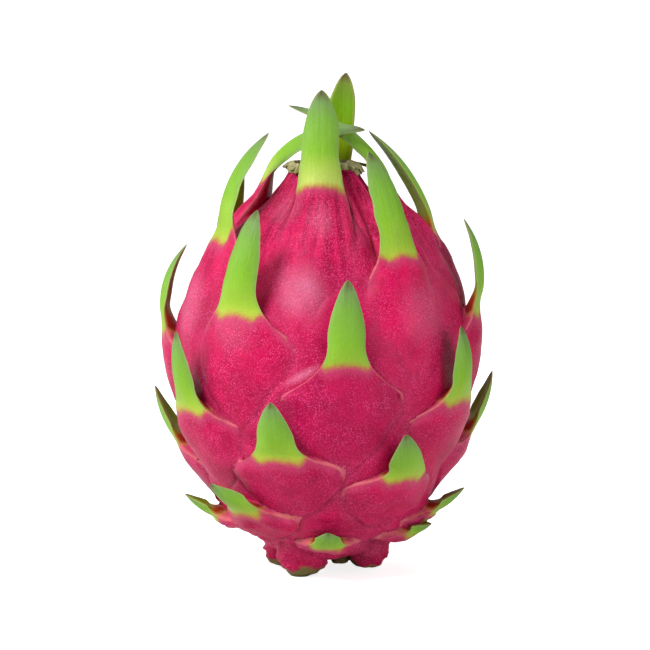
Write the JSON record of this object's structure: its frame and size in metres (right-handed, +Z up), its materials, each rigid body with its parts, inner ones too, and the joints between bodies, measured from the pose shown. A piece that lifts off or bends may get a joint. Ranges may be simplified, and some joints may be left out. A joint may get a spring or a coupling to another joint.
{
  "type": "dragon fruit",
  "caption": "Whole red dragon fruit with curved green-tipped scales, a dried flower collar at the crown and a cut stem between the lobes that it stands on.",
  "frame": {"origin": "on the surface that the fruit stands on, under the middle of its box", "axes": "+Z up along the fruit from its stem end to its crown; -Y faces the side with the central long scale; +X to the right as seen from that side"},
  "size_m": [0.0958, 0.093, 0.1396],
  "materials": {
    "scaled_skin": "satin waxy skin, crimson to magenta, turning yellow-green and grey-green along each scale",
    "dried_flower": "dry papery, crinkled, olive to straw",
    "stem_wood": "matte woody, green to brown"
  },
  "bodies": {
    "root": {"fruit": "scaled_skin", "dried_collar": "dried_flower", "cut_stem": "stem_wood"}
  },
  "joints": []
}
